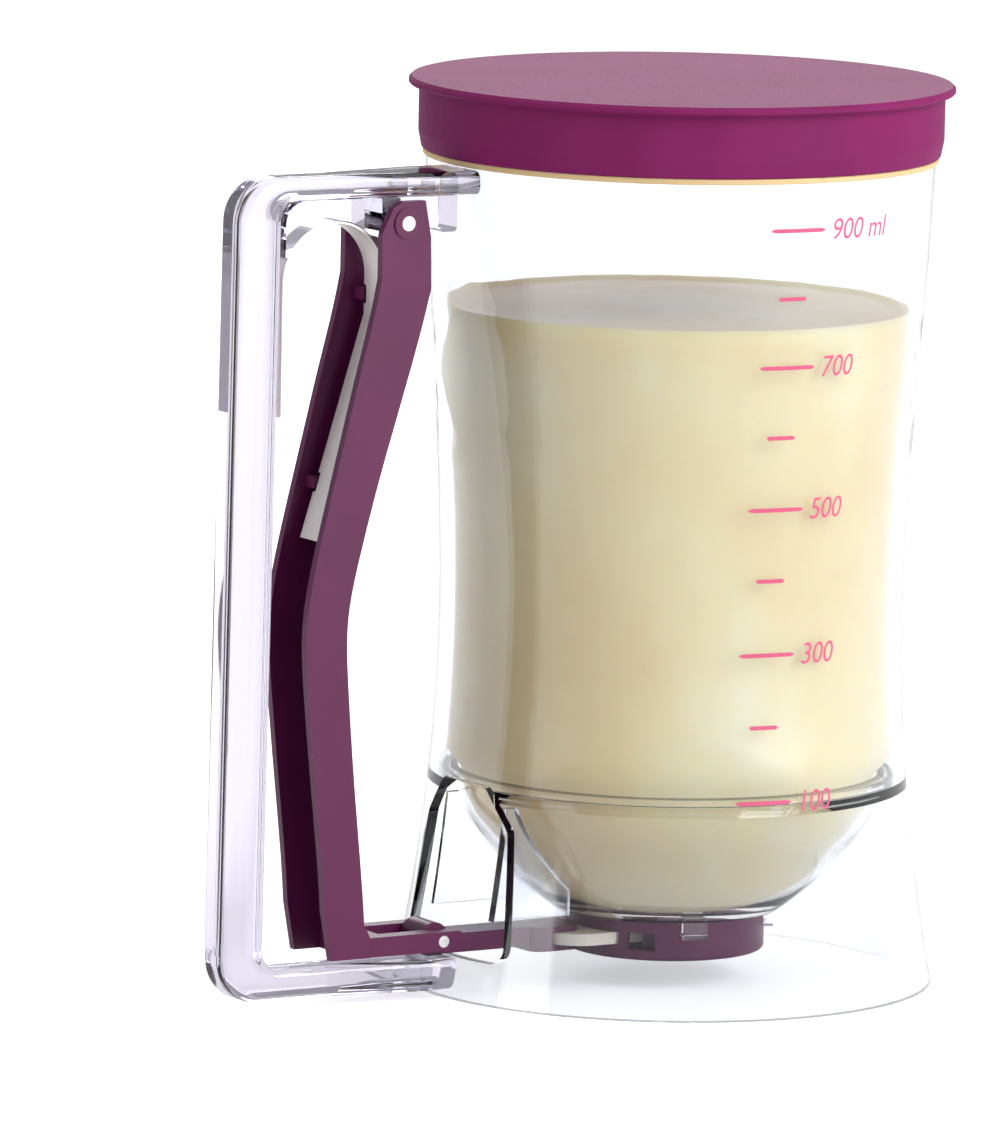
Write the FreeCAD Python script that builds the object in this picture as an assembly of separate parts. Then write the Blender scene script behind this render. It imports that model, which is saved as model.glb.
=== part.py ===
import FreeCAD, Part
import math
import os

V = FreeCAD.Vector
os.makedirs("parts", exist_ok=True)

# Units are millimetres. While drawn, the jug's axis is Z, the table is z = 0, the handle points to -X.
# On saving, all pieces move along X together: the origin ends under the middle of the object.

# jug wall, a waisted shell from the foot ring to the rim
wall_t = 2.2
shoulder_r = 51.8
foot_flare = 3.1
skirt_in = 1.6
waist_in = 4.4
chest_in = 2.2
shoulder_z = 168.2
mid_skirt_z = 30.0
waist_z = 66.0
chest_z = 129.0
neck_step = 0.9
neck_h = 12.4
rim_round = 0.7

# ledge inside the wall that carries the bowl's rim
ledge_clear = 0.6
ledge_h = 2.3

# clearances
seat_gap = 0.3
run_gap = 0.05
slide_gap = 0.2
pocket_gap = 0.3

# funnel bowl inside the jug, with its outlet collar and clips
bowl_t = 1.4
bowl_rim_z = 43.6
bowl_rim_h = 1.4
bowl_rim_w = 1.9
bowl_floor_in = 22.9
bowl_floor_z = 14.6
bowl_belly_in = (4.3, 9.8, 16.8)
bowl_belly_z = (34.7, 26.9, 19.5)
outlet_r = 6.5
outlet_slope = 0.6
collar_t = 2.3
collar_h = 1.0
clip_w = 5.0
clip_t = 1.5
clip_toe = 1.0
clip_toe_h = 0.8
clip_angles = (-32, 32, 105, -105)

# doorway in the skirt, and the ribs beside it
door_sill_z = 8.4
door_half_low = 19.0
door_half_mid = 15.5
door_half_top = 8.0
door_mid_z = 35.0
door_under_rim = 0.4
door_round = 3.0
rib_y = 11.6
rib_t = 1.6
rib_in_x = 30.0
rib_low_z = 16.2
rib_top_gap = 4.5

# handle
grip_out_top = 104.8
grip_out_low = 106.4
grip_d = 10.0
grip_half = 4.25
bar_t = 4.8
bar_under_shoulder = 0.2
low_bar_z = 2.0
low_bar_t = 6.4
tongue_half = 7.1
tongue_root = 11.0
tongue_wide = 10.2
tongue_taper = 29.3
corner_out_r = 9.0
corner_in_r = 4.2
bar_round = 1.9
tongue_round = 1.6

# hinge lug and pivot
pivot_x = -68.8
pivot_drop = 9.7
pivot_r = 1.5
lug_half = 5.9
lug_front = 4.6
lug_chin = (3.6, 3.4)
lug_nose = (1.0, 4.4)
lug_heel = 9.6
lug_back = 12.8
lug_step = 2.4
lug_round = 0.9

# leaf spring and the saddle that its arch bears on
strip_t = 0.6
strip_half = 3.85
arch_r = 11.6
arch_x = -82.95
arch_drop = 21.2
strip_left_len = 27.0
strip_right_len = 52.5
strip_straight = 8.0
strip_lean = 0.31
notch_len = 3.6
notch_deep = 0.9
notch_drops = (4.0, 41.5)
saddle_gap = 0.35
saddle_len = 17.95
saddle_low = 5.0
saddle_ease = 0.4

# trigger lever, a channel open towards the grip, with a forked foot
lever_half = 8.3
cheek_t = 1.8
web_t = 2.0
head_up = 4.4
head_back = 4.0
boss_r = 3.1
boss_h = 0.4
head_front = 1.2
chin_step = (5.4, 2.8)
brow_step = (3.4, 3.1)
cheek_front = 5.8
cheek_high = 1.8
cheek_low = 11.0
bend_back = 5.7
bend_drop = 13.3
open_drop = 10.1
back_steps = (-4.9, -9.6, -12.1, -11.8, -9.6, -7.1)
back_drops = (49.2, 66.3, 79.3, 92.3, 116.3, 141.1)
front_steps = (-7.0, -10.6, -14.6, -19.8, -21.6, -21.0, -18.6, -16.4)
front_drops = (16.9, 30.8, 46.8, 68.3, 80.3, 94.3, 116.3, 138.3)
heel_step = 5.6
toe_step = 14.6
corner_round = 2.4
foot_back = 3.2
foot_half = 8.0
foot_low_z = 10.2
foot_t = 4.0
tine_gap = 4.4
tine_tip = 3.0
bridge_len = 7.2
keeper_half = 1.0
keeper_gap = 0.35
keeper_end_gap = 0.6

# link between the fork and the slide arm
link_x = -57.0
link_z = 12.2
link_r = 1.2
link_drop = 0.5
link_side_gap = 0.15
eye_r = 3.3
eye_round = 0.9

# slide arm and gate
arm_half = 4.0
arm_low_z = 8.95
arm_top_z = 12.9
arm_fork_half = 6.0
arm_fork_back = 4.4
arm_fork_len = 7.0
arm_fork_round = 3.0
arm_fork_t = 1.3
stud_r = 0.9
stud_in = 0.6
gate_half = 10.2
gate_low_z = 9.2
gate_t = 2.4
gate_front = 8.6
gate_tail = 30.0
gate_corner = 7.7

# valve housing
house_r = 20.5
house_low_z = 6.2
house_top_gap = 0.3
house_round = 0.8
slot_half = 10.9
slot_end = 0.4
throat_r = 6.0
nozzle_r = 8.0
nozzle_h = 1.3
window_half = 2.9
window_h = 3.6
window_deep = 4.6
window_angles = (-134.6, 134.6)
seal_t = 3.3
seal_lift = 0.06

# lid and gasket
gasket_h = 1.2
gasket_out = 0.55
gasket_in = 0.12
lid_over_rim = 3.3
groove_over_rim = 1.5
lip_t = 1.6
lip_out = 2.1
lid_fit = 0.7
skirt_t = 1.7
skirt_taper = 0.6
taper_h = 3.4
plug_t = 1.4
plug_deep = 4.8
edge_break = 0.6

# sizes that follow from the ones above
foot_r = shoulder_r + foot_flare
neck_r = shoulder_r - neck_step
neck_in_r = neck_r - wall_t
rim_z = shoulder_z + neck_h
bar_top_z = shoulder_z - bar_under_shoulder
bar_low_z = bar_top_z - bar_t
low_bar_top_z = low_bar_z + low_bar_t
pivot_z = bar_top_z - pivot_drop
arch_z = shoulder_z - arch_drop
foot_top_z = foot_low_z + foot_t
gate_top_z = gate_low_z + gate_t
slot_low_z = gate_low_z - slide_gap
house_split_z = gate_top_z + slide_gap
house_top_z = bowl_floor_z - house_top_gap
collar_r = outlet_r + collar_t
collar_z = bowl_floor_z - collar_h
seal_r = throat_r + pocket_gap + seal_t
skirt_r = neck_r + lid_fit + skirt_t
lid_r = skirt_r + lip_out
skirt_low_z = shoulder_z + gasket_h
lid_top_z = rim_z + lid_over_rim
plug_r = neck_in_r - seat_gap
reach = 2 * foot_r

made = {}


def keep(node, shape):
    shape = shape.removeSplitter()
    if shape.ShapeType == "Compound" and len(shape.Solids) == 1:
        shape = shape.Solids[0]
    made[node] = shape


def line(points):
    return Part.makePolygon([V(x, 0, z) for x, z in points]).Edges


def spline(points):
    curve = Part.BSplineCurve()
    curve.interpolate([V(x, 0, z) for x, z in points])
    return curve.toShape()


def face_of(edges):
    return Part.Face(Part.Wire(Part.__sortEdges__(edges)))


def turned(edges):
    return face_of(edges).revolve(V(0, 0, 0), V(0, 0, 1), 360)


def ring(r_out, r_in, z_low, z_top):
    outer = Part.makeCylinder(r_out, z_top - z_low, V(0, 0, z_low))
    inner = Part.makeCylinder(r_in, z_top - z_low, V(0, 0, z_low))
    return outer.cut(inner)


def box(x0, x1, y0, y1, z0, z1):
    return Part.makeBox(x1 - x0, y1 - y0, z1 - z0, V(x0, y0, z0))


def slab_y(edges, half):
    slab = face_of(edges).extrude(V(0, 2 * half, 0))
    slab.translate(V(0, -half, 0))
    return slab


def slab_z(points, z0, z1):
    base = [V(x, y, z0) for x, y in points]
    return Part.Face(Part.makePolygon(base + [base[0]])).extrude(V(0, 0, z1 - z0))


def slab_x(points, x0, x1):
    base = [V(x0, y, z) for y, z in points]
    return Part.Face(Part.makePolygon(base + [base[0]])).extrude(V(x1 - x0, 0, 0))


def pin_y(x, z, r, y0, y1):
    return Part.makeCylinder(r, y1 - y0, V(x, y0, z), V(0, 1, 0))


def through_y(x, z, r):
    return pin_y(x, z, r, -reach, reach)


def upright(edge):
    a = edge.Vertexes[0].Point
    b = edge.Vertexes[-1].Point
    return (a - b).Length > 1e-3 and abs(a.x - b.x) < 1e-6 and abs(a.y - b.y) < 1e-6


def across(edge):
    a = edge.Vertexes[0].Point
    b = edge.Vertexes[-1].Point
    return (a - b).Length > 1e-3 and abs(a.x - b.x) < 1e-6 and abs(a.z - b.z) < 1e-6


def edges_at(shape, x, z):
    """Edges that run along Y through the point x, z."""
    found = []
    for edge in shape.Edges:
        p = edge.Vertexes[0].Point
        if across(edge) and abs(p.x - x) < 1e-3 and abs(p.z - z) < 1e-3:
            found.append(edge)
    return found


def wall_points(inset):
    return [
        (foot_r - inset, 0),
        (shoulder_r - skirt_in - inset, mid_skirt_z),
        (shoulder_r - waist_in - inset, waist_z),
        (shoulder_r - chest_in - inset, chest_z),
        (shoulder_r - inset, shoulder_z),
    ]


def wall_radius(z):
    level = Part.makeLine(V(0, 0, z), V(reach, 0, z))
    return spline(wall_points(0)).distToShape(level)[1][0][0].x


def inside_of_wall(gap):
    """Everything nearer to the axis than the wall's inner face less gap."""
    points = wall_points(wall_t + gap)
    closing = line([points[-1], (0, shoulder_z), (0, 0), points[0]])
    return turned([spline(points)] + closing)


# jug wall
wall_edges = [spline(wall_points(0)), spline(wall_points(wall_t))]
wall_edges += line([(foot_r - wall_t, 0), (foot_r, 0)])
wall_edges += line(
    [
        (shoulder_r, shoulder_z),
        (neck_r, shoulder_z),
        (neck_r, rim_z),
        (neck_in_r, rim_z),
        (neck_in_r, shoulder_z + wall_t),
        (shoulder_r - wall_t, shoulder_z),
    ]
)
wall = turned(wall_edges)
rim_edges = [e for e in wall.Edges if abs(e.BoundBox.ZMin - rim_z) < 1e-4 and e.BoundBox.ZLength < 1e-3]
wall = wall.makeFillet(rim_round, rim_edges)
bowl_seat_z = bowl_rim_z - bowl_rim_h
bowl_edge_r = wall_radius(bowl_rim_z) - wall_t - seat_gap
bowl_neck_r = bowl_edge_r - bowl_rim_w
ledge_r = bowl_neck_r + ledge_clear
ledge_in_wall = wall_t / 2
ledge = turned(
    line(
        [
            (ledge_r, bowl_seat_z),
            (wall_radius(bowl_seat_z) - ledge_in_wall, bowl_seat_z),
            (wall_radius(bowl_seat_z - ledge_h) - ledge_in_wall, bowl_seat_z - ledge_h - ledge_in_wall),
            (ledge_r, bowl_seat_z),
        ]
    )
)
wall = wall.fuse(ledge)
door_top_z = bowl_rim_z - door_under_rim
door = slab_x(
    [
        (-door_half_low, door_sill_z),
        (-door_half_mid, door_mid_z),
        (-door_half_top, door_top_z),
        (door_half_top, door_top_z),
        (door_half_mid, door_mid_z),
        (door_half_low, door_sill_z),
    ],
    -reach,
    -shoulder_r / 2,
)
door = door.makeFillet(door_round, [e for e in door.Edges if e.BoundBox.XLength > foot_r])
wall = wall.cut(door)
keep("jug_wall", wall)

# everything that the wall's outer face encloses, with the seat gap: it trims what meets the wall from outside
grown = wall_points(-seat_gap)
outside_x = shoulder_r + seat_gap
grown_wall = turned(
    [spline(grown)]
    + line([grown[0], (grown[0][0], -wall_t), (0, -wall_t), (0, rim_z), (outside_x, rim_z), grown[-1]])
)

# funnel bowl
bowl_floor_r = bowl_edge_r - bowl_floor_in
cone = [(bowl_neck_r, bowl_seat_z)]
cone += [(bowl_edge_r - d, z) for d, z in zip(bowl_belly_in, bowl_belly_z)]
cone += [(bowl_floor_r, bowl_floor_z)]
slope = bowl_t * math.sqrt(0.5)
inner = [(bowl_neck_r - bowl_t, bowl_rim_z)]
inner += [(bowl_edge_r - d - slope, z + slope) for d, z in zip(bowl_belly_in, bowl_belly_z)]
inner += [(bowl_floor_r - bowl_t, bowl_floor_z + bowl_t)]
bowl_edges = [spline(cone), spline(inner)]
bowl_edges += line([cone[0], (bowl_edge_r, bowl_seat_z), (bowl_edge_r, bowl_rim_z), inner[0]])
bowl_edges += line(
    [
        inner[-1],
        (outlet_r, bowl_floor_z + outlet_slope),
        (outlet_r, collar_z),
        (collar_r, collar_z),
        (collar_r, bowl_floor_z),
        cone[-1],
    ]
)
bowl = turned(bowl_edges)
clip_in = house_r + seat_gap
clip_out = clip_in + clip_t
toe_z = house_split_z - clip_toe
for angle in clip_angles:
    stem = box(clip_in, clip_out, -clip_w / 2, clip_w / 2, toe_z, bowl_floor_z + clip_toe)
    toe = box(clip_in - clip_toe, clip_out, -clip_w / 2, clip_w / 2, toe_z, toe_z + clip_toe_h)
    clip = stem.fuse(toe)
    clip.rotate(V(0, 0, 0), V(0, 0, 1), angle)
    bowl = bowl.fuse(clip)
keep("funnel_bowl", bowl)

# ribs that stand under the bowl on both sides of the doorway
shade = [(x + seat_gap, z - seat_gap) for x, z in cone]
under_bowl = turned(
    [spline(shade)]
    + line([shade[-1], (0, shade[-1][1]), (0, bowl_rim_z), (shade[0][0], bowl_rim_z), shade[0]])
)
rib_space = inside_of_wall(seat_gap)
for side, name in ((-1, "doorway_rib_near"), (1, "doorway_rib_far")):
    mid = side * rib_y
    rib = box(-reach, -rib_in_x, mid - rib_t / 2, mid + rib_t / 2, rib_low_z, bowl_rim_z - rib_top_gap)
    rib = rib.common(rib_space)
    rib = rib.cut(under_bowl)
    keep(name, rib)

# handle frame, one bar bent into a grip with a flared tongue at each end
root_x = -shoulder_r + tongue_root
grip_in_top = grip_out_top - grip_d
grip_in_low = grip_out_low - grip_d
frame_points = [
    (root_x, bar_top_z),
    (-grip_out_top, bar_top_z),
    (-grip_out_low, low_bar_z),
    (root_x, low_bar_z),
    (root_x, low_bar_top_z),
    (-grip_in_low, low_bar_top_z),
    (-grip_in_top, bar_low_z),
    (root_x, bar_low_z),
    (root_x, bar_top_z),
]
frame = slab_y(line(frame_points), grip_half)
corners = (
    (-grip_out_top, bar_top_z, corner_out_r),
    (-grip_out_low, low_bar_z, corner_out_r),
    (-grip_in_low, low_bar_top_z, corner_in_r),
    (-grip_in_top, bar_low_z, corner_in_r),
)
for x, z, radius in corners:
    frame = frame.makeFillet(radius, edges_at(frame, x, z))
side_edges = []
for face in frame.Faces:
    if abs(abs(face.normalAt(0, 0).y) - 1) < 1e-6:
        side_edges += [e for e in face.Edges if e.BoundBox.XMin < root_x - 1e-3]
frame = frame.makeFillet(bar_round, side_edges)
wide_x = -shoulder_r - tongue_wide
start_x = wide_x - tongue_taper
narrow = grip_half / 2
for z0, z1 in ((bar_low_z, bar_top_z), (low_bar_z, low_bar_top_z)):
    tongue = slab_z(
        [
            (start_x, -narrow),
            (wide_x, -tongue_half),
            (root_x, -tongue_half),
            (root_x, tongue_half),
            (wide_x, tongue_half),
            (start_x, narrow),
        ],
        z0,
        z1,
    )
    long_edges = [e for e in tongue.Edges if e.BoundBox.XLength > tongue_round]
    tongue = tongue.makeFillet(tongue_round, long_edges)
    frame = frame.fuse(tongue)
frame = frame.cut(grown_wall)
keep("handle_frame", frame)

# hinge lug under the top bar
lug_left = pivot_x - lug_front
lug_right = pivot_x + lug_back
lug_points = [
    (lug_left, bar_low_z),
    (lug_left, pivot_z),
    (pivot_x - lug_chin[0], pivot_z - lug_chin[1]),
    (pivot_x + lug_nose[0], pivot_z - lug_nose[1]),
    (pivot_x + lug_heel, pivot_z - lug_step),
    (lug_right, pivot_z - lug_step),
    (lug_right, bar_low_z),
    (lug_left, bar_low_z),
]
lug = slab_y(line(lug_points), lug_half)
lug = lug.makeFillet(lug_round, [e for e in lug.Edges if across(e) and e.BoundBox.ZMax < bar_low_z - 1e-3])
lug = lug.cut(through_y(pivot_x, pivot_z, pivot_r + run_gap / 2))
keep("hinge_lug", lug)

# saddle in the corner of the handle, over the arch of the leaf spring
saddle_left = -grip_in_top + saddle_gap
saddle = box(saddle_left, saddle_left + saddle_len, -grip_half, grip_half, arch_z + saddle_low, bar_low_z)
saddle = saddle.makeFillet(corner_in_r + saddle_ease, edges_at(saddle, saddle_left, bar_low_z))
saddle = saddle.cut(through_y(arch_x, arch_z, arch_r + strip_t / 2 + 2 * run_gap))
keep("spring_saddle", max(saddle.Solids, key=lambda s: s.Volume))

# leaf spring, a strip bent over under the saddle, with two notch pairs
strip_top_x = arch_x + arch_r
strip_bend_z = arch_z - strip_straight
strip_low_z = arch_z - strip_right_len


def strip_x(z):
    """X of the middle of the strip's long leg at height z."""
    return strip_top_x - max(0, strip_bend_z - z) * strip_lean


def strip_side(inset):
    """The strip's line moved by inset towards the outside of the arch, as edges and its two ends."""
    radius = arch_r + inset
    left = V(arch_x - radius, 0, arch_z - strip_left_len)
    rise = V(arch_x - radius, 0, arch_z)
    top = V(arch_x, 0, arch_z + radius)
    fall = V(arch_x + radius, 0, arch_z)
    bend = V(arch_x + radius, 0, strip_bend_z)
    low = V(strip_x(strip_low_z) + inset, 0, strip_low_z)
    edges = [Part.makeLine(left, rise), Part.Arc(rise, top, fall).toShape()]
    edges += [Part.makeLine(fall, bend), Part.makeLine(bend, low)]
    return edges, left, low


over, over_left, over_low = strip_side(strip_t / 2)
under, under_left, under_low = strip_side(-strip_t / 2)
strip_ends = [Part.makeLine(over_left, under_left), Part.makeLine(over_low, under_low)]
strip = slab_y(over + under + strip_ends, strip_half)
notch_zs = [arch_z - drop for drop in notch_drops]
for z in notch_zs:
    for side in (-1, 1):
        y0, y1 = sorted((side * (strip_half - notch_deep), side * (strip_half + notch_deep)))
        x = strip_x(z)
        notch = box(x - notch_len, x + notch_len, y0, y1, z - notch_len / 2, z + notch_len / 2)
        strip = strip.cut(notch)
keep("leaf_spring", strip)

# pivot pin
pin_half = lever_half + boss_h
keep("pivot_pin", pin_y(pivot_x, pivot_z, pivot_r, -pin_half, pin_half))

# trigger lever
head_top_z = pivot_z + head_up
heel_x = pivot_x - heel_step
toe_x = pivot_x - toe_step
foot_x = heel_x - foot_back
chin = (pivot_x + chin_step[0], pivot_z - chin_step[1])
back = [(pivot_x + bend_back, pivot_z - bend_drop)]
back += [(pivot_x + x, pivot_z - z) for x, z in zip(back_steps, back_drops)]
front = [(pivot_x - cheek_front, pivot_z - cheek_low)]
front += [(pivot_x + x, pivot_z - z) for x, z in zip(front_steps, front_drops)]
brow = (pivot_x - cheek_front, pivot_z - cheek_high)
head_points = [
    front[0],
    brow,
    (pivot_x - brow_step[0], pivot_z + brow_step[1]),
    (pivot_x - head_front, head_top_z),
    (pivot_x + head_back, head_top_z),
    chin,
    back[0],
]
heel_points = [back[-1], (heel_x, foot_top_z), (heel_x, foot_low_z), (toe_x, foot_low_z), front[-1]]
lever = slab_y([spline(back), spline(front)] + line(head_points) + line(heel_points), lever_half)
for x, z in (chin, back[0], front[0], brow):
    lever = lever.makeFillet(corner_round, edges_at(lever, x, z))
web = [(x - web_t, z) for x, z in back]
pocket = slab_y(
    [spline(web)]
    + line(
        [
            web[-1],
            (heel_x - web_t, foot_top_z),
            (foot_x, foot_top_z),
            (foot_x, -foot_t),
            (-reach, -foot_t),
            (-reach, rim_z),
            (0, rim_z),
            (0, pivot_z - open_drop),
            (back[0][0], pivot_z - open_drop),
            (web[0][0], back[0][1] + web_t),
            web[0],
        ]
    ),
    lever_half - cheek_t,
)
lever = lever.cut(pocket)
tip_z = foot_low_z + foot_t / 2
for y0, y1 in ((-foot_half, -tine_gap), (tine_gap, foot_half)):
    tine = box(foot_x, link_x + tine_tip, y0, y1, foot_low_z, foot_top_z)
    tip = pin_y(link_x + tine_tip, tip_z, foot_t / 2, y0, y1)
    lever = lever.fuse(tine.fuse(tip))
bridge = box(foot_x, foot_x + bridge_len, -foot_half, foot_half, foot_low_z, foot_top_z)
lever = lever.fuse(bridge)
for side in (-1, 1):
    y0, y1 = sorted((side * lever_half, side * (lever_half + boss_h)))
    lever = lever.fuse(pin_y(pivot_x, pivot_z, boss_r, y0, y1))
    for z in notch_zs:
        y0, y1 = sorted((side * (strip_half - notch_deep + keeper_gap), side * (lever_half - cheek_t / 2)))
        x = strip_x(z)
        z_half = notch_len / 2 - keeper_end_gap
        lever = lever.fuse(box(x - keeper_half, x + keeper_half, y0, y1, z - z_half, z + z_half))
lever = lever.cut(through_y(pivot_x, pivot_z, pivot_r + run_gap))
lever = lever.cut(through_y(link_x, link_z, link_r))
keep("trigger_lever", lever)

# link pin across the fork
keep("link_pin", pin_y(link_x, link_z, link_r, -foot_half, foot_half))

# slide arm, with a slotted eye at one end and a fork that holds the gate at the other
fork_x = -gate_tail - arm_fork_back
arm = pin_y(link_x, link_z, eye_r, -arm_half, arm_half)
arm = arm.fuse(box(link_x, fork_x + arm_half, -arm_half, arm_half, arm_low_z, arm_top_z))
fork_low_z = gate_low_z - arm_fork_t
fork = box(fork_x, -gate_tail + arm_fork_len, -arm_fork_half, arm_fork_half, fork_low_z, arm_top_z)
fork = fork.makeFillet(arm_fork_round, [e for e in fork.Edges if upright(e)])
arm = arm.fuse(fork)
tail_gap = run_gap * 2
arm = arm.cut(box(-gate_tail - tail_gap, 0, -gate_half, gate_half, gate_low_z, gate_top_z))
slot_low = link_z - link_drop - link_r - slide_gap
slot_top = link_z + link_r + slide_gap
slot_half_x = link_r + link_side_gap
slot = box(link_x - slot_half_x, link_x + slot_half_x, -gate_half, gate_half, slot_low, slot_top)
slot = slot.makeFillet(eye_round, [e for e in slot.Edges if across(e)])
arm = arm.cut(slot)
stud_near = -gate_tail + arm_fork_len / 3
stud_far = -gate_tail + arm_fork_len * 3 / 4
studs = ((stud_near, -arm_fork_half / 2), (stud_near, arm_fork_half / 2), (stud_far, 0))
for x, y in studs:
    arm = arm.fuse(Part.makeCylinder(stud_r, arm_top_z - gate_low_z + stud_in, V(x, y, gate_low_z - stud_in)))
keep("slide_arm", arm)

# slide gate, the pale plate that closes the outlet
nose_x = gate_front - gate_half
gate = box(-gate_tail, nose_x, -gate_half, gate_half, gate_low_z, gate_top_z)
tail_edges = [e for e in gate.Edges if upright(e) and e.BoundBox.XMax < -gate_tail + 1e-3]
gate = gate.makeFillet(gate_corner, tail_edges)
gate = gate.fuse(Part.makeCylinder(gate_half, gate_t, V(nose_x, 0, gate_low_z)))
for x, y in studs:
    gate = gate.cut(Part.makeCylinder(stud_r + 2 * run_gap, gate_t, V(x, y, gate_low_z)))
keep("slide_gate", gate)

# lower valve housing, the cup with the slide slot, two windows and the nozzle
lower = Part.makeCylinder(house_r, house_split_z - house_low_z, V(0, 0, house_low_z))
lower = lower.makeFillet(house_round, [e for e in lower.Edges if e.BoundBox.ZMax < house_low_z + 1e-3])
nozzle_low_z = house_low_z - nozzle_h
lower = lower.fuse(Part.makeCylinder(nozzle_r, slot_low_z - nozzle_low_z, V(0, 0, nozzle_low_z)))
track_x = nose_x + slot_end
track = box(-reach, track_x, -slot_half, slot_half, slot_low_z, house_split_z)
track = track.fuse(Part.makeCylinder(slot_half, house_split_z - slot_low_z, V(track_x, 0, slot_low_z)))
lower = lower.cut(track)
lower = lower.cut(Part.makeCylinder(throat_r, house_top_z))
for angle in window_angles:
    window_in = house_r - window_deep
    window_z = house_split_z - window_h
    window = box(window_in, reach, -window_half, window_half, window_z, house_split_z)
    window.rotate(V(0, 0, 0), V(0, 0, 1), angle)
    lower = lower.cut(window)
pocket_half = clip_w / 2 + pocket_gap
toe_in = clip_in - clip_toe - pocket_gap
for angle in clip_angles:
    pocket = box(toe_in, reach, -pocket_half, pocket_half, toe_z - pocket_gap, house_top_z)
    pocket.rotate(V(0, 0, 0), V(0, 0, 1), angle)
    lower = lower.cut(pocket)
keep("valve_housing_lower", lower)

# upper valve housing, the ring that carries the seal
upper = ring(house_r, seal_r + pocket_gap, house_split_z, house_top_z)
upper = upper.makeFillet(house_round / 2, [e for e in upper.Edges if e.BoundBox.ZMin > house_top_z - 1e-3])
for angle in clip_angles:
    pocket = box(clip_in - 2 * pocket_gap, reach, -pocket_half, pocket_half, house_split_z, house_top_z)
    pocket.rotate(V(0, 0, 0), V(0, 0, 1), angle)
    upper = upper.cut(pocket)
keep("valve_housing_upper", upper)

# seal between the outlet collar and the gate
keep("outlet_seal", ring(seal_r, throat_r + pocket_gap, gate_top_z + seal_lift, collar_z))

# lid, with a flared lip, a skirt outside the neck and a plug inside it
top_in_z = lid_top_z - lip_t
lid_edges = line(
    [
        (0, lid_top_z),
        (lid_r - edge_break, lid_top_z),
        (lid_r, lid_top_z - edge_break),
        (lid_r, top_in_z + edge_break / 2),
        (lid_r - edge_break / 2, top_in_z),
        (skirt_r + edge_break, top_in_z),
        (skirt_r, top_in_z - edge_break),
        (skirt_r, skirt_low_z + taper_h),
        (skirt_r - skirt_taper, skirt_low_z + edge_break / 2),
        (skirt_r - skirt_taper - edge_break / 2, skirt_low_z),
        (skirt_r - skirt_t, skirt_low_z),
        (skirt_r - skirt_t, rim_z + groove_over_rim),
        (plug_r, rim_z + groove_over_rim),
        (plug_r, rim_z - plug_deep + edge_break),
        (plug_r - edge_break, rim_z - plug_deep),
        (plug_r - plug_t, rim_z - plug_deep),
        (plug_r - plug_t, top_in_z),
        (0, top_in_z),
        (0, lid_top_z),
    ]
)
keep("lid_shell", turned(lid_edges))

# gasket on the shoulder under the lid
gasket = ring(shoulder_r + gasket_out, neck_r + gasket_in, shoulder_z, skirt_low_z)
gasket = gasket.makeFillet(seat_gap, [e for e in gasket.Edges if e.BoundBox.XLength > 2 * shoulder_r])
keep("rim_gasket", gasket)

# the origin goes under the middle of the whole object
extents = [shape.optimalBoundingBox(False) for shape in made.values()]
low_x = min(extent.XMin for extent in extents)
high_x = max(extent.XMax for extent in extents)
for node, shape in made.items():
    shape.translate(V(-(low_x + high_x) / 2, 0, 0))
    shape.exportStep("parts/" + node + ".step")
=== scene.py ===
import math

import bmesh
import bpy
from mathutils import Matrix, Vector


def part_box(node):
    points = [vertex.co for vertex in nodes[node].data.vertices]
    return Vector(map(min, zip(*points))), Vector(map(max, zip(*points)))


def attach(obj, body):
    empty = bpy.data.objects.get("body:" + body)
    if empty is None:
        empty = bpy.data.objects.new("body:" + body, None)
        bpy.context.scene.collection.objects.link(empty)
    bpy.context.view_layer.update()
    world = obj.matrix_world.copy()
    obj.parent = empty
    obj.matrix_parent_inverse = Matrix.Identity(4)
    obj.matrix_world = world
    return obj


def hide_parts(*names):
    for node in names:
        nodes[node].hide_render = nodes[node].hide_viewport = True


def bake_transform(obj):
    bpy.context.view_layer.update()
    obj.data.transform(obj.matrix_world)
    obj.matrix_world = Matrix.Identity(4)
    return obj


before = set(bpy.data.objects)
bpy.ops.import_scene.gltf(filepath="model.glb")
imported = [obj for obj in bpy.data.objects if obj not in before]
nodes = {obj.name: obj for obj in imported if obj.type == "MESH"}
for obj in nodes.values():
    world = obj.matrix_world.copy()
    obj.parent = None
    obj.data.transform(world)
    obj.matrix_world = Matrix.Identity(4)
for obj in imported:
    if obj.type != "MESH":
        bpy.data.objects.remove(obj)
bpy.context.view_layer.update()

MM = 0.001

# The jug's axis stands off the frame's origin, towards +X
jug_low, jug_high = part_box("jug_wall")
AXIS = Vector(((jug_low[0] + jug_high[0]) / 2, 0, 0))

# The photograph's camera: its frame in pixels, where it stands, how it is turned, how many pixels
# a millimetre takes on the jug's axis, and the pixel on which the axis lies at height AIM_Z
PHOTO_W, PHOTO_H = 1001, 1139
CAM_AZIMUTH = math.radians(-32.0)
CAM_ELEVATION = math.radians(8.02)
CAM_DISTANCE = 2.34
CAM_ROLL = math.radians(1.163)
PX_PER_MM = 4.914
AIM_Z = 0.095
AIM_PIXEL = (672.7, 513.6)
SENSOR_HEIGHT = 24
CLIP_START = 0.05

# Rays that measure the frame leave the jug's axis at these angles, clear of handle and doorway
WALL_RAY = Vector((math.sin(0.6), -math.cos(0.6), 0))
BOWL_RAY = Vector((math.cos(0.3), math.sin(0.3), 0))
OUTSIDE_REACH = 0.2
ON_AXIS = 1e-6

# The batter's level, the film of air between it and the clear faces, and its throat over the gate
BATTER_TOP = 0.1385
BATTER_FILM = 0.0009
GATE_GAP = 0.0001
THROAT_RADIUS, THROAT_TOP = 0.0061, 0.0148
BOWL_START = 0.0168

# The rows of points stop this far under and over the bowl's rim, and widen from it at this slope
RIM_GAP = 0.0006
LEDGE_SLOPE = 3

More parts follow.
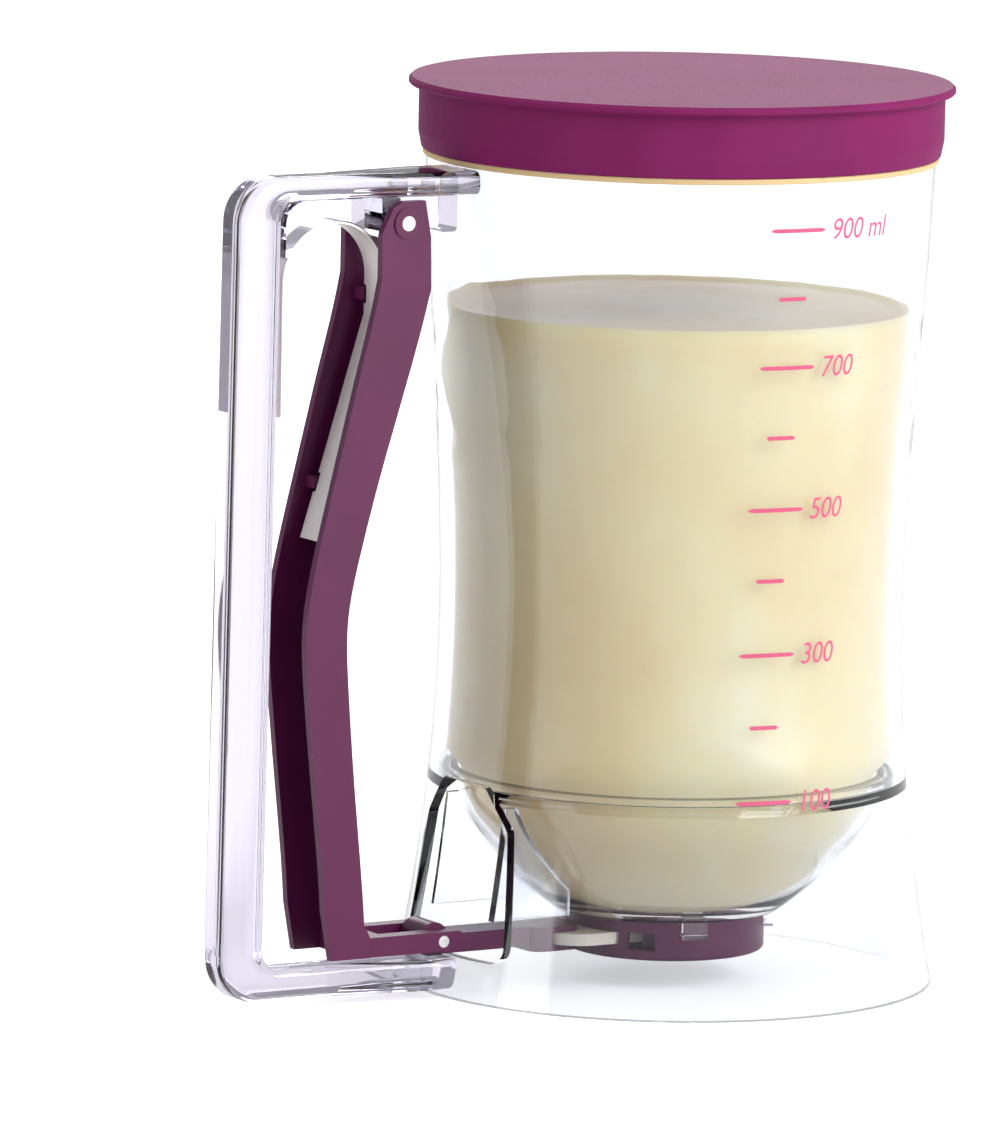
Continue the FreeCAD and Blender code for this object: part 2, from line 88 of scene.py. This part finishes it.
# At the wall the batter's edge stands a little over its level, with a dip inside it
EDGE_IN, EDGE_UP = 0.0004, 0.0001
DIP_IN, DIP_DOWN = 0.0016, 0.0006
SURFACE_DOWN = 0.0008
BOWL_ROWS, WALL_ROWS, SURFACE_ROWS = 26, 30, 14
RING_POINTS = 96

# Heights in millimetres of the scale's marks from 100 to 900, read from the photograph
TICK_HEIGHTS = (43.2, 58.3, 72.9, 87.9, 102.3, 116.9, 131.1, 145.0, 158.8)

# Where the scale's column starts along the wall's arc, and how far it leans over its height
COLUMN_START, COLUMN_LEAN = -0.0099, 0.0033
COLUMN_TOP, COLUMN_HEIGHT = 0.159, 0.116
INK_LIFT = 0.00004
LONG_TICK, SHORT_TICK, SHORT_TICK_IN = 0.0121, 0.0062, 0.0027
TICK_HALF = 0.00042
TICK_STEPS = 14
TICK_END = 0.35
NUMERAL_IN = 0.0135
NUMERAL_HEIGHT = 0.0043
NUMERAL_SHARE = 0.70
NUMERAL_SLANT = 0.18
NUMERAL_SPACING = 0.98
NUMERAL_WIDTH = 0.92

# The leaf spring: a strip that rises beside the grip, turns over an arch and leans down the trigger
STRIP_T, STRIP_EDGE = 0.0006, 0.00014
ARCH_R = 0.0116
ARCH_BACK, ARCH_Z = 0.08295, 0.147
BACK_END = 0.120
BEND_DROP = 0.008
LEAN_IN, LEAN_DOWN = 0.296, 0.955
BACK_ROWS, ARCH_ROWS = 14, 40
FRONT_STEP, FRONT_REST = 0.0012, 0.0002
NOTCH_MIDDLES = (0.143, 0.1055)
NOTCH_HALF, NOTCH_DEPTH, NOTCH_CORNER = 0.0018, 0.0009, 0.00015
SHARP_ANGLE = math.radians(40)

# The part of a noise pattern's 0 to 1 range that its values mostly fill
NOISE_LOW, NOISE_HIGH = 0.3, 0.7


def lin(r, g, b):
    """A colour given as 0-255 screen values, as the linear RGBA that shaders take."""
    out = []
    for c in (r, g, b):
        c /= 255
        out.append(c / 12.92 if c <= 0.04045 else ((c + 0.055) / 1.055) ** 2.4)
    return (*out, 1.0)


def shaded(colour, amount):
    """The colour made darker or lighter by that factor, up to full white."""
    return tuple(min(1.0, c * amount) for c in colour[:3]) + (1.0,)


WHITE = (1, 1, 1, 1)
CLEAR_TINT = (0.845, 0.86, 0.885, 1.0)
BOWL_TINT = (0.985, 0.98, 0.97, 1.0)
FIN_TINT = (0.88, 0.90, 0.95, 1.0)
HANDLE_TINT = (0.60, 0.57, 0.66, 1.0)
PURPLE = lin(84, 20, 64)
LID_PURPLE = lin(116, 30, 84)
STEEL = lin(236, 230, 226)
PIN_STEEL = lin(225, 222, 220)
PALE = lin(236, 226, 212)
SILICONE = lin(205, 176, 128)
INK_PINK = lin(196, 74, 112)
BATTER_STOPS = [(0.3, lin(240, 214, 158)), (0.55, lin(249, 230, 182)), (0.75, lin(253, 242, 210))]
FLOOR_GREY = (0.82, 0.82, 0.82, 1)
FLOOR_GLOW = 0.6
FLOOR_SIZE = 30
SKY_LIGHT = (0.95, 0.96, 1.0, 1)


# Node trees
class Graph:
    """Short names for building the node tree of a material or of the world, from empty."""

    def __init__(self, block):
        block.use_nodes = True
        self.tree = block.node_tree
        self.tree.nodes.clear()

    def add(self, kind, **values):
        """A node with each value set on its property of that name, or else on its input."""
        node = self.tree.nodes.new(kind)
        for key, value in values.items():
            if hasattr(node, key):
                setattr(node, key, value)
            else:
                node.inputs[key.replace("_", " ")].default_value = value
        return node

    def link(self, source, target):
        self.tree.links.new(source, target)

    def noise(self, scale, detail=3.0, stretch=(1, 1, 1)):
        coord = self.add("ShaderNodeTexCoord")
        mapping = self.add("ShaderNodeMapping", Scale=stretch)
        texture = self.add("ShaderNodeTexNoise", Scale=scale, Detail=detail)
        self.link(coord.outputs["Object"], mapping.inputs["Vector"])
        self.link(mapping.outputs["Vector"], texture.inputs["Vector"])
        return texture.outputs["Fac"]

    def ramp(self, source, stops):
        node = self.add("ShaderNodeValToRGB")
        elements = node.color_ramp.elements
        while len(elements) < len(stops):
            elements.new(0.5)
        for element, (place, colour) in zip(elements, stops):
            element.position = place
            element.color = colour
        self.link(source, node.inputs["Fac"])
        return node.outputs["Color"]

    def mottled(self, source, colour, dark, light, low=NOISE_LOW, high=NOISE_HIGH):
        """The colour, made darker where the noise is low and lighter where it is high."""
        return self.ramp(source, [(low, shaded(colour, dark)), (high, shaded(colour, light))])

    def spread(self, source, low, high):
        """The noise, stretched so that most of it runs from low to high."""
        limits = {"From_Min": NOISE_LOW, "From_Max": NOISE_HIGH, "To_Min": low, "To_Max": high}
        node = self.add("ShaderNodeMapRange", **limits)
        self.link(source, node.inputs["Value"])
        return node.outputs["Result"]

    def bump(self, source, depth):
        node = self.add("ShaderNodeBump", Distance=depth)
        self.link(source, node.inputs["Height"])
        return node.outputs["Normal"]

    def either_ray(self, *kinds):
        """1 for a ray of either kind, and 0 for any other."""
        rays = self.add("ShaderNodeLightPath")
        either = self.add("ShaderNodeMath", operation="MAXIMUM")
        for kind, target in zip(kinds, either.inputs):
            self.link(rays.outputs[kind], target)
        return either.outputs["Value"]

    def mix(self, factor, at_zero, at_one):
        node = self.add("ShaderNodeMixShader")
        self.link(factor, node.inputs["Fac"])
        self.link(at_zero, node.inputs[1])
        self.link(at_one, node.inputs[2])
        return node.outputs["Shader"]

    def output(self, shader, kind="ShaderNodeOutputMaterial"):
        self.link(shader, self.add(kind).inputs["Surface"])

    def dress(self, body, colour, rough, normal=None):
        """Joins the patterns to the body, and the body to the material's output."""
        self.link(colour, body.inputs["Base Color"])
        self.link(rough, body.inputs["Roughness"])
        if normal:
            self.link(normal, body.inputs["Normal"])
        self.output(body.outputs["BSDF"])


# Materials
def clear_plastic(name, tint, rough=(0.012, 0.05), wave=0.00003):
    """Clear plastic with a slight flow in its faces, through which lamp light passes tinted."""
    mat = bpy.data.materials.new(name)
    graph = Graph(mat)
    shell = graph.add("ShaderNodeBsdfPrincipled", Base_Color=tint, Transmission_Weight=1.0, IOR=1.5)
    flow = graph.noise(scale=30, detail=2.0, stretch=(1, 1, 0.35))
    haze = graph.noise(scale=220, detail=4.0)
    graph.link(graph.spread(haze, *rough), shell.inputs["Roughness"])
    graph.link(graph.bump(flow, wave), shell.inputs["Normal"])
    passing = graph.add("ShaderNodeBsdfTransparent", Color=shaded(tint, 0.97))
    lit = graph.either_ray("Is Shadow Ray", "Is Diffuse Ray")
    graph.output(graph.mix(lit, shell.outputs["BSDF"], passing.outputs["BSDF"]))
    return mat


def moulded_plastic(name, colour, rough=(0.32, 0.42), grain=900, coat=0.15, shine=0.5):
    mat = bpy.data.materials.new(name)
    graph = Graph(mat)
    finish = {"Coat_Weight": coat, "Coat_Roughness": 0.25, "Specular_IOR_Level": shine}
    body = graph.add("ShaderNodeBsdfPrincipled", **finish)
    cloud = graph.noise(scale=45)
    fine = graph.noise(scale=grain, detail=4.0)
    tone = graph.mottled(cloud, colour, dark=0.9, light=1.1)
    graph.dress(body, tone, graph.spread(fine, *rough), graph.bump(fine, depth=0.00002))
    return mat


def rolled_steel(name, colour, along=(1, 1, 0.05), rough=(0.32, 0.46)):
    mat = bpy.data.materials.new(name)
    graph = Graph(mat)
    body = graph.add("ShaderNodeBsdfPrincipled", Metallic=0.75)
    lines = graph.noise(scale=2600, stretch=along)
    stain = graph.noise(scale=60, detail=2.0)
    tone = graph.mottled(stain, colour, dark=0.92, light=1.06)
    graph.dress(body, tone, graph.spread(lines, *rough), graph.bump(lines, depth=0.000012))
    return mat


def soft_rubber(name, colour):
    mat = bpy.data.materials.new(name)
    graph = Graph(mat)
    body = graph.add("ShaderNodeBsdfPrincipled", Subsurface_Weight=0.3, Subsurface_Scale=0.002)
    body.inputs["Subsurface Radius"].default_value = (1.0, 0.7, 0.45)
    cloud = graph.noise(scale=120)
    tone = graph.mottled(cloud, colour, dark=0.93, light=1.05)
    graph.dress(body, tone, graph.spread(cloud, 0.5, 0.65))
    return mat


def batter_material():
    mat = bpy.data.materials.new("batter")
    graph = Graph(mat)
    depth = {"Subsurface_Weight": 0.85, "Subsurface_Scale": 0.004}
    body = graph.add("ShaderNodeBsdfPrincipled", Specular_IOR_Level=0.15, **depth)
    body.inputs["Subsurface Radius"].default_value = (1.0, 0.75, 0.45)
    cloud = graph.noise(scale=28, detail=4.0, stretch=(1, 1, 0.6))
    fine = graph.noise(scale=500)
    tone = graph.ramp(cloud, BATTER_STOPS)
    graph.dress(body, tone, graph.spread(fine, 0.3, 0.45), graph.bump(cloud, depth=0.0004))
    return mat


def ink_material():
    mat = bpy.data.materials.new("scale_ink")
    graph = Graph(mat)
    body = graph.add("ShaderNodeBsdfPrincipled")
    grain = graph.noise(scale=1800)
    tone = graph.mottled(grain, INK_PINK, dark=0.9, light=1.12, low=0.35, high=0.65)
    graph.dress(body, tone, graph.spread(grain, 0.4, 0.55))
    return mat


clear = clear_plastic("clear_plastic", CLEAR_TINT)
clear_bowl = clear_plastic("clear_plastic_bowl", BOWL_TINT)
clear_fin = clear_plastic("clear_plastic_fin", FIN_TINT, rough=(0.06, 0.16))
clear_handle = clear_plastic("clear_plastic_handle", HANDLE_TINT, wave=0.00005)
purple = moulded_plastic("purple_plastic", PURPLE, shine=0.3)
lid_mat = moulded_plastic("lid_plastic", LID_PURPLE, rough=(0.5, 0.6), grain=1500, coat=0.0, shine=0.08)
steel = rolled_steel("stainless", STEEL)
pin_steel = rolled_steel("steel_pin", PIN_STEEL, along=(1, 0.05, 1), rough=(0.15, 0.25))
pale = moulded_plastic("pale_plastic", PALE, rough=(0.3, 0.4), grain=600)
silicone = soft_rubber("silicone", SILICONE)

finishes = {
    "jug_wall": clear,
    "funnel_bowl": clear_bowl,
    "doorway_rib_near": clear_fin,
    "doorway_rib_far": clear_fin,
    "handle_frame": clear_handle,
    "hinge_lug": clear_handle,
    "spring_saddle": clear_handle,
    "pivot_pin": pin_steel,
    "link_pin": pin_steel,
    "trigger_lever": purple,
    "slide_arm": purple,
    "valve_housing_lower": purple,
    "valve_housing_upper": purple,
    "slide_gate": pale,
    "outlet_seal": silicone,
    "rim_gasket": silicone,
    "lid_shell": lid_mat,
}
for node, mat in finishes.items():
    obj = nodes[node]
    if not obj.material_slots:
        obj.data.materials.append(mat)
    for slot in obj.material_slots:
        slot.link = "OBJECT"
        slot.material = mat


# Mesh helpers
def mesh_object(name, bm, mat, smooth=True):
    mesh = bpy.data.meshes.new(name)
    bm.to_mesh(mesh)
    bm.free()
    obj = bpy.data.objects.new(name, mesh)
    bpy.context.scene.collection.objects.link(obj)
    mesh.materials.append(mat)
    for poly in mesh.polygons:
        poly.use_smooth = smooth
    return obj


def ray_radius(node, z, ray, outside=False):
    """Radius of the node's inner or outer face at height z, read from the frame with a ray."""
    level = AXIS + Vector((0, 0, z))
    if outside:
        hit = nodes[node].ray_cast(level + ray * OUTSIDE_REACH, -ray)
    else:
        hit = nodes[node].ray_cast(level, ray)
    return (hit[1] - level).length


def revolve(bm, profile, steps):
    """A closed surface of revolution from (radius, z) points that begin and end on the axis."""
    rings = []
    angles = [2 * math.pi * k / steps for k in range(steps)]
    for r, z in profile:
        if r < ON_AXIS:
            rings.append([bm.verts.new((0, 0, z))])
        else:
            rings.append([bm.verts.new((r * math.cos(a), r * math.sin(a), z)) for a in angles])
    for low, high in zip(rings, rings[1:]):
        for k in range(steps):
            j = (k + 1) % steps
            if len(low) == 1:
                bm.faces.new((low[0], high[j], high[k]))
            elif len(high) == 1:
                bm.faces.new((low[k], low[j], high[0]))
            else:
                bm.faces.new((low[k], low[j], high[j], high[k]))


# The batter in the jug
def batter_profile():
    """The batter's outline as (radius, z) points: throat, bowl, wall and then in to the axis."""
    floor_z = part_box("slide_gate")[1][2] + GATE_GAP
    rim_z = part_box("funnel_bowl")[1][2]
    ledge_in = ray_radius("funnel_bowl", rim_z - RIM_GAP, BOWL_RAY) - BATTER_FILM
    profile = [(0, floor_z), (THROAT_RADIUS, floor_z), (THROAT_RADIUS, THROAT_TOP)]
    for i in range(BOWL_ROWS + 1):
        z = BOWL_START + (rim_z - RIM_GAP - BOWL_START) * i / BOWL_ROWS
        profile.append((ray_radius("funnel_bowl", z, BOWL_RAY) - BATTER_FILM, z))
    for i in range(1, WALL_ROWS + 1):
        z = rim_z + RIM_GAP + (BATTER_TOP - RIM_GAP - rim_z) * i / WALL_ROWS
        beside_wall = ray_radius("jug_wall", z, WALL_RAY) - BATTER_FILM
        profile.append((min(beside_wall, ledge_in + LEDGE_SLOPE * (z - rim_z)), z))
    top_r = ray_radius("jug_wall", BATTER_TOP, WALL_RAY) - BATTER_FILM
    profile.append((top_r - EDGE_IN, BATTER_TOP + EDGE_UP))
    profile.append((top_r - DIP_IN, BATTER_TOP - DIP_DOWN))
    for i in range(1, SURFACE_ROWS + 1):
        profile.append(((top_r - DIP_IN) * (1 - i / SURFACE_ROWS), BATTER_TOP - SURFACE_DOWN))
    return profile


def make_batter():
    bm = bmesh.new()
    revolve(bm, batter_profile(), RING_POINTS)
    for v in bm.verts:
        v.co += AXIS
    obj = mesh_object("batter", bm, batter_material())
    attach(obj, "jug")


# The printed scale
def on_wall(u, z):
    """The point on the jug's outside at arc length u from the -Y line, at height z."""
    r = ray_radius("jug_wall", z, WALL_RAY, outside=True) + INK_LIFT
    a = u / r
    return AXIS + Vector((r * math.sin(a), -r * math.cos(a), z))


def column_start(z):
    """Where the scale's column starts at height z: the print leans a little, as in the photograph."""
    return COLUMN_START - COLUMN_LEAN * (COLUMN_TOP - z) / COLUMN_HEIGHT


def tick(index, start, length, z, ink):
    bm = bmesh.new()
    rows = []
    for k in range(TICK_STEPS + 1):
        ease = 1.0 if 0 < k < TICK_STEPS else TICK_END
        u = start + length * (k / TICK_STEPS)
        rows.append([bm.verts.new(on_wall(u, z + s * TICK_HALF * ease)) for s in (-1, 0, 1)])
    for a, b in zip(rows, rows[1:]):
        for i in range(2):
            bm.faces.new((a[i], b[i], b[i + 1], a[i + 1]))
    obj = mesh_object(f"scale_tick_{index}", bm, ink)
    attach(obj, "jug")


def numeral(text, start, z, ink):
    name = "scale_" + text.replace(" ", "_")
    curve = bpy.data.curves.new(name, "FONT")
    curve.body = text
    curve.size = NUMERAL_HEIGHT / NUMERAL_SHARE
    curve.shear = NUMERAL_SLANT
    curve.space_character = NUMERAL_SPACING
    curve.resolution_u = 4
    temp = bpy.data.objects.new("temp", curve)
    bpy.context.scene.collection.objects.link(temp)
    bpy.context.view_layer.update()
    mesh = bpy.data.meshes.new_from_object(temp.evaluated_get(bpy.context.evaluated_depsgraph_get()))
    bpy.data.objects.remove(temp)
    bm = bmesh.new()
    bm.from_mesh(mesh)
    bmesh.ops.triangulate(bm, faces=bm.faces)
    bmesh.ops.subdivide_edges(bm, edges=bm.edges, cuts=1)
    low = min(v.co.y for v in bm.verts)
    high = max(v.co.y for v in bm.verts)
    mid = (low + high) / 2
    for v in bm.verts:
        v.co = on_wall(start + v.co.x * NUMERAL_WIDTH, z + v.co.y - mid)
    obj = mesh_object(name, bm, ink)
    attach(obj, "jug")


def make_scale():
    """A long tick with a numeral at each odd hundred, and a short tick between."""
    ink = ink_material()
    for i, height in enumerate(TICK_HEIGHTS):
        z = height * MM
        start = column_start(z)
        if i % 2:
            tick(i, start + SHORT_TICK_IN, SHORT_TICK, z, ink)
            continue
        tick(i, start, LONG_TICK, z, ink)
        value = 100 * (i + 1)
        label = f"{value} ml" if value == 900 else str(value)
        numeral(label, start + NUMERAL_IN, z, ink)


# The leaf spring, which bends between the handle and the trigger
def spring_path(arch_x, front_end):
    """The strip's middle line as (x, z) points, from its back end over the arch to its front end."""
    path = []
    for i in range(BACK_ROWS + 1):
        path.append((arch_x - ARCH_R, BACK_END + (ARCH_Z - BACK_END) * i / BACK_ROWS))
    for i in range(1, ARCH_ROWS):
        a = math.pi * (1 - i / ARCH_ROWS)
        path.append((arch_x + ARCH_R * math.cos(a), ARCH_Z + ARCH_R * math.sin(a)))
    path.append((arch_x + ARCH_R, ARCH_Z))
    bend_z = ARCH_Z - BEND_DROP
    heights = [front_end]
    z = bend_z
    while z > front_end + FRONT_REST:
        heights.append(z)
        z -= FRONT_STEP
    for middle in NOTCH_MIDDLES:
        for s in (-1, 1):
            heights += [middle + s * (NOTCH_HALF + NOTCH_CORNER), middle + s * NOTCH_HALF]
    for z in sorted(set(heights), reverse=True):
        path.append((arch_x + ARCH_R - max(0.0, bend_z - z) * (LEAN_IN / LEAN_DOWN), z))
    return path


def strip_section(w):
    """The strip's section as (across, out) points, with its long edges broken; w is half its width."""
    h = STRIP_T / 2
    side = [(-w + STRIP_EDGE, h), (0, h), (w - STRIP_EDGE, h), (w, h - STRIP_EDGE), (w, STRIP_EDGE - h)]
    return side + [(-y, -d) for y, d in side]


def make_spring():
    box_low, box_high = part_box("leaf_spring")
    half_w = (box_high[1] - box_low[1]) / 2
    arch_x = AXIS.x - ARCH_BACK
    path = spring_path(arch_x, box_low[2])
    bm = bmesh.new()
    rings = []
    for i, (x, z) in enumerate(path):
        before = path[max(0, i - 1)]
        after = path[min(len(path) - 1, i + 1)]
        run = Vector((after[0] - before[0], 0, after[1] - before[1])).normalized()
        out = Vector((run.z, 0, -run.x))
        notched = any(abs(z - middle) <= NOTCH_HALF + 1e-6 for middle in NOTCH_MIDDLES)
        w = half_w - NOTCH_DEPTH if notched and x >= arch_x else half_w
        here = Vector((x, 0, z))
        rings.append([bm.verts.new(here + Vector((0, y, 0)) + out * d) for y, d in strip_section(w)])
    count = len(rings[0])
    for a, b in zip(rings, rings[1:]):
        for k in range(count):
            j = (k + 1) % count
            bm.faces.new((a[k], a[j], b[j], b[k]))
    bm.faces.new(rings[0][::-1])
    bm.faces.new(rings[-1])
    bmesh.ops.recalc_face_normals(bm, faces=bm.faces)
    obj = mesh_object("leaf_spring_strip", bm, steel)
    obj.data.set_sharp_from_angle(angle=SHARP_ANGLE)
    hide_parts("leaf_spring")
    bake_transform(obj)


# Floor, lamps and world
def plain_floor():
    """A matt floor that also glows, for the camera and for what is seen through clear plastic."""
    mat = bpy.data.materials.new("floor")
    graph = Graph(mat)
    matt = graph.add("ShaderNodeBsdfDiffuse", Color=FLOOR_GREY)
    dark = graph.add("ShaderNodeEmission", Strength=0.0)
    glow = graph.add("ShaderNodeEmission", Color=WHITE, Strength=FLOOR_GLOW)
    seen = graph.either_ray("Is Camera Ray", "Is Transmission Ray")
    both = graph.add("ShaderNodeAddShader")
    graph.link(matt.outputs["BSDF"], both.inputs[0])
    graph.link(graph.mix(seen, dark.outputs["Emission"], glow.outputs["Emission"]), both.inputs[1])
    graph.output(both.outputs["Shader"])
    bm = bmesh.new()
    bmesh.ops.create_grid(bm, x_segments=1, y_segments=1, size=FLOOR_SIZE)
    floor = mesh_object("floor", bm, mat, smooth=False)


def area_lamp(name, place, size, power):
    """A soft rectangular lamp that faces the jug's middle."""
    data = bpy.data.lights.new(name, "AREA")
    data.shape = "RECTANGLE"
    data.size, data.size_y = size
    data.energy = power
    lamp = bpy.data.objects.new(name, data)
    lamp.location = place
    middle = AXIS + Vector((0, 0, 0.09))
    lamp.rotation_euler = (middle - place).to_track_quat("-Z", "Y").to_euler()
    bpy.context.scene.collection.objects.link(lamp)


def around(azimuth, distance, height):
    """A place at that azimuth as the views count it: 0 looks along +Y and 90 along -X."""
    a = math.radians(azimuth)
    return AXIS + Vector((distance * math.sin(a), -distance * math.cos(a), height))


def studio_world():
    """A dim cool light on the object, behind which the camera sees plain white."""
    world = bpy.data.worlds.new("studio")
    bpy.context.scene.world = world
    graph = Graph(world)
    light = graph.add("ShaderNodeBackground", Color=SKY_LIGHT, Strength=0.5)
    backdrop = graph.add("ShaderNodeBackground", Color=WHITE, Strength=1.0)
    seen = graph.add("ShaderNodeLightPath").outputs["Is Camera Ray"]
    shader = graph.mix(seen, light.outputs["Background"], backdrop.outputs["Background"])
    graph.output(shader, "ShaderNodeOutputWorld")


# The camera
def photo_camera():
    a, e = CAM_AZIMUTH, CAM_ELEVATION
    away = Vector((math.sin(a) * math.cos(e), -math.cos(a) * math.cos(e), math.sin(e)))
    right = Vector((math.cos(a), math.sin(a), 0))
    up = right.cross(-away)
    target = AXIS + Vector((0, 0, AIM_Z))
    place = target + away * CAM_DISTANCE
    dx = (PHOTO_W / 2 - AIM_PIXEL[0]) / PX_PER_MM * MM
    dy = (AIM_PIXEL[1] - PHOTO_H / 2) / PX_PER_MM * MM
    c, s = math.cos(CAM_ROLL), math.sin(CAM_ROLL)
    aim = target + right * (dx * c - dy * s) + up * (dx * s + dy * c)
    look = (aim - place).normalized()
    x = look.cross(Vector((0, 0, 1))).normalized()
    y = x.cross(look)
    rolled_x = x * c + y * s
    rolled_y = y * c - x * s
    data = bpy.data.cameras.new("photo_camera")
    data.sensor_fit = "VERTICAL"
    data.sensor_height = SENSOR_HEIGHT
    data.lens = PX_PER_MM / MM * CAM_DISTANCE * SENSOR_HEIGHT / PHOTO_H
    data.clip_start = CLIP_START
    camera = bpy.data.objects.new("photo_camera", data)
    m = Matrix((rolled_x, rolled_y, -look)).transposed().to_4x4()
    m.translation = place
    camera.matrix_world = m
    bpy.context.scene.collection.objects.link(camera)
    bpy.context.scene.camera = camera


make_batter()
make_scale()
make_spring()
plain_floor()
area_lamp("key", around(azimuth=25, distance=1.3, height=0.75), size=(0.9, 1.1), power=25)
area_lamp("fill", around(azimuth=-95, distance=1.6, height=0.6), size=(0.8, 1.0), power=6)
area_lamp("top", AXIS + Vector((0.1, 0.2, 1.6)), size=(1.2, 1.2), power=6)
area_lamp("back", around(azimuth=150, distance=1.5, height=0.8), size=(1.0, 0.8), power=7)
studio_world()
photo_camera()
bpy.context.scene.view_settings.view_transform = "Standard"
